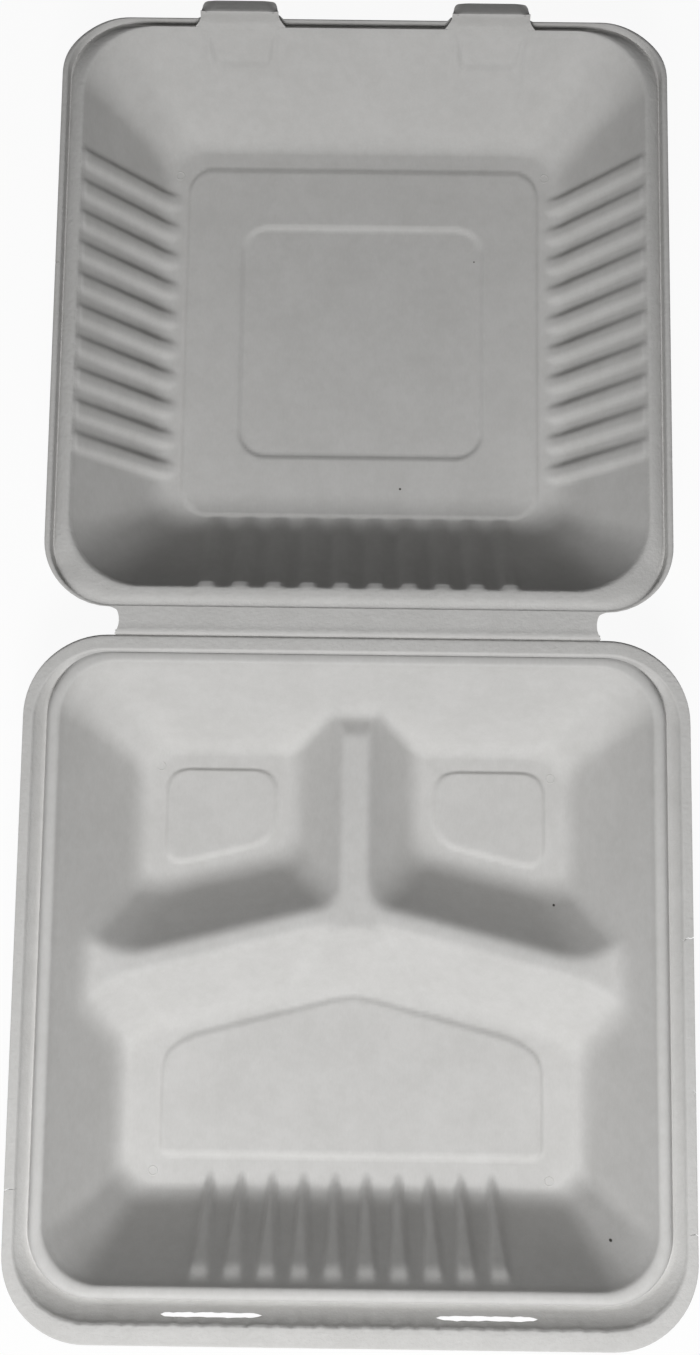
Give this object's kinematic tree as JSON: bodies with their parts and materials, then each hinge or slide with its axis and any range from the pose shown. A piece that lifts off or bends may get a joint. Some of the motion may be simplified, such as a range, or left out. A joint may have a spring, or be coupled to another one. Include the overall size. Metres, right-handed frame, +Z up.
{
  "type": "moulded pulp clamshell food container",
  "caption": "Open moulded pulp food container: a compartmented base and a shallow lid on a paper fold, with locking tongues and slots.",
  "frame": {"origin": "middle of the open container's length and width, on the table under both trays", "axes": "+X along the fold, +Y from the base to the lid, +Z up out of the open trays"},
  "size_m": [0.23, 0.4648, 0.0506],
  "materials": {
    "pulp_base": "matt moulded pulp, felted on the rims",
    "pulp_lid": "matt moulded pulp, felted on the rims"
  },
  "bodies": {
    "base": {"base": "pulp_base"},
    "lid": {"lid": "pulp_lid"}
  },
  "joints": [
    {"name": "lid_fold", "type": "hinge", "parent": "base", "child": "lid", "pos_m": [0, 0.00365, 0.04105], "axis": [1, 0, 0], "range_deg": [0, 180]}
  ]
}
